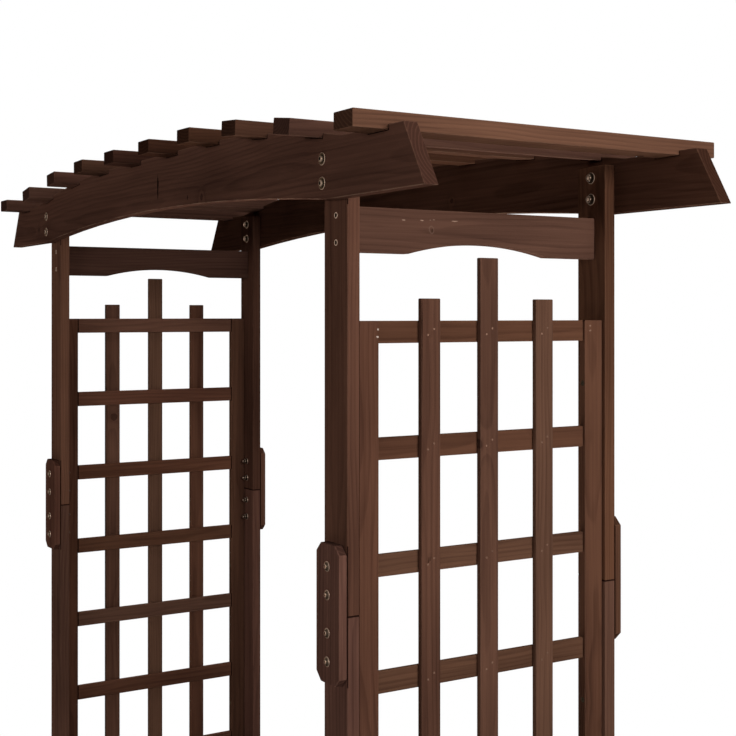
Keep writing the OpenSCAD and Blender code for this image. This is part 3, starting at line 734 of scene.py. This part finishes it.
floor = {
    "radius": 2.9, "fade": 1.5, "fadeEnd": 0.98, "segments": 96, "drop": 0.0005, "color": (0.80, 0.80, 0.79),
    "speckNoise": ((3.0, 3.0, 3.0), 3.0), "speck": 0.03,
}
sky = {"seen": 1.0, "lighting": 0.025}
white = (1.0, 1.0, 1.0, 1.0)


# One for the rays that would show the backdrop itself, nought for those that light the object
def seenDirectly(tree):
    path = addNode(tree, "LightPath").outputs
    mirrored = calc(tree, "MAXIMUM", path["Is Glossy Ray"], path["Is Transmission Ray"])
    return calc(tree, "MAXIMUM", path["Is Camera Ray"], mirrored)


def makeFloor():
    material, tree = newMaterial("paleFloor")
    tree.nodes.clear()
    place = addNode(tree, "TexCoord").outputs["Object"]
    speck = centred(tree, noise(tree, place, *floor["speckNoise"]), floor["speck"])
    channels = {number: plus(tree, value, speck) for number, value in enumerate(floor["color"])}
    tint = addNode(tree, "CombineColor", channels).outputs[0]
    ground = addNode(tree, "BsdfDiffuse", {"Color": tint}).outputs[0]
    glow = addNode(tree, "Emission", {"Color": white, "Strength": sky["seen"]}).outputs[0]
    edge = smoothStep(tree, lengthOf(tree, place), floor["fade"], floor["radius"] * floor["fadeEnd"])
    mixed = addNode(tree, "MixShader", {0: times(tree, seenDirectly(tree), edge), 1: ground, 2: glow})
    wire(tree, addNode(tree, "OutputMaterial").inputs[0], mixed.outputs[0])
    work = bmesh.new()
    bmesh.ops.create_circle(work, cap_ends=True, segments=floor["segments"], radius=floor["radius"])
    mesh = bpy.data.meshes.new("groundDisc")
    work.to_mesh(mesh)
    work.free()
    mesh.materials.append(material)
    disc = bpy.data.objects.new("groundDisc", mesh)
    disc.location = (0.0, 0.0, -floor["drop"])
    bpy.context.scene.collection.objects.link(disc)


def makeSky():
    world = bpy.data.worlds.new("studioSky")
    bpy.context.scene.world = world
    world.use_nodes = True
    tree = world.node_tree
    tree.nodes.clear()
    dim = addNode(tree, "Background", {"Color": white, "Strength": sky["lighting"]}).outputs[0]
    plain = addNode(tree, "Background", {"Color": white, "Strength": sky["seen"]}).outputs[0]
    mixed = addNode(tree, "MixShader", {0: seenDirectly(tree), 1: dim, 2: plain})
    wire(tree, addNode(tree, "OutputWorld").inputs[0], mixed.outputs[0])


# Power is in watts, and spread is the angle of a lamp's cone
lamps = {
    "keyLamp": {"place": (2.9, 0.12, 2.25), "aim": (0.0, 0.0, 1.4), "size": (0.9, 0.8), "power": 53.5},
    "frontLamp": {"place": (1.3, -4.8, 2.15), "aim": (0.0, 0.0, 1.3), "size": (2.4, 0.7), "power": 64.0},
    "topLamp": {"place": (0.2, 0.8, 5.2), "aim": (0.0, 0.0, 1.6), "size": (2.4, 2.4), "power": 95.0},
    "backLamp": {"place": (-3.6, 4.4, 2.8), "aim": (0.0, 0.0, 1.2), "size": (2.6, 2.6), "power": 120.0},
    "leftLamp": {"place": (-4.4, 0.7, 2.3), "aim": (0.0, 0.0, 1.2), "size": (1.4, 1.4), "power": 85.0},
    "riseLamp": {"place": (0.28, 0.08, 0.92), "aim": (0.45, 0.08, 2.0), "size": (0.30, 0.18), "power": 1.7,
                 "spread": 80.0},
}
openSpread = 180.0


def addLamp(name, values):
    lamp = bpy.data.lights.new(name, "AREA")
    lamp.shape = "RECTANGLE"
    lamp.size, lamp.size_y = values["size"]
    lamp.energy = values["power"]
    lamp.spread = math.radians(values.get("spread", openSpread))
    made = bpy.data.objects.new(name, lamp)
    made.location = values["place"]
    ray = Vector(values["aim"]) - Vector(values["place"])
    made.rotation_euler = ray.to_track_quat("-Z", "Y").to_euler()
    made.visible_camera = False
    bpy.context.scene.collection.objects.link(made)


camera = {
    "place": (2.0607, -1.0845, 1.772), "turn": (90.05, 0.0, 58.55),
    "focal": 63.42, "sensor": 36.0, "shiftY": -0.0734, "clipStart": 0.05,
}


def makeCamera():
    lens = bpy.data.cameras.new("view")
    lens.sensor_width = camera["sensor"]
    lens.lens = camera["focal"]
    lens.shift_y = camera["shiftY"]
    lens.clip_start = camera["clipStart"]
    made = bpy.data.objects.new("view", lens)
    made.location = camera["place"]
    made.rotation_euler = [math.radians(angle) for angle in camera["turn"]]
    bpy.context.scene.collection.objects.link(made)
    bpy.context.scene.camera = made


makeCamera()
makeFloor()
makeSky()
for name, values in lamps.items():
    addLamp(name, values)
bpy.context.scene.view_settings.view_transform = "Standard"
print("stage, lamps and camera ready")

firGroup, markGroup = makeFirGroup(), makeMarkGroup()
woods = {
    "stained_fir": makeWood("stainedFir", fir, firGroup, markGroup, railMarks + beamMarks),
    "trellis_fir": makeWood("trellisFir", trellis, firGroup, markGroup, stileMarks),
}
platingGroup = makePlatingGroup()
metal = makePlating("yellowZinc", plating, platingGroup)
nailMetal = makePlating("stainedNail", nail, platingGroup)
print("materials ready")

wooden = [name for name, slot in slotOf.items() if slot in woods]
boards = measureBoards(wooden)
for name in wooden:
    roundBoards(name, woods[slotOf[name]], boards)
print("boards rounded")

makeTurned("long_bolts", metal, domedBolt, bolt["smooth"], bolt["beamShades"])
makeTurned("splice_bolts", metal, domedBolt, bolt["smooth"], bolt["spliceShades"])
makeTurned("side_rail_screws", metal, countersunkScrew, sideScrew["smooth"])
makeTurned("hex_nuts", metal, hexNut, nut["smooth"])
makeTurned("washers", metal, flatWasher, washer["smooth"])
for name in ("roof_screws", "bench_screws", "trellis_screws", "trellis_nails"):
    for slot in frame["nodes"][name].material_slots:
        slot.material = nailMetal if name == "trellis_nails" else metal
print("fasteners ready")
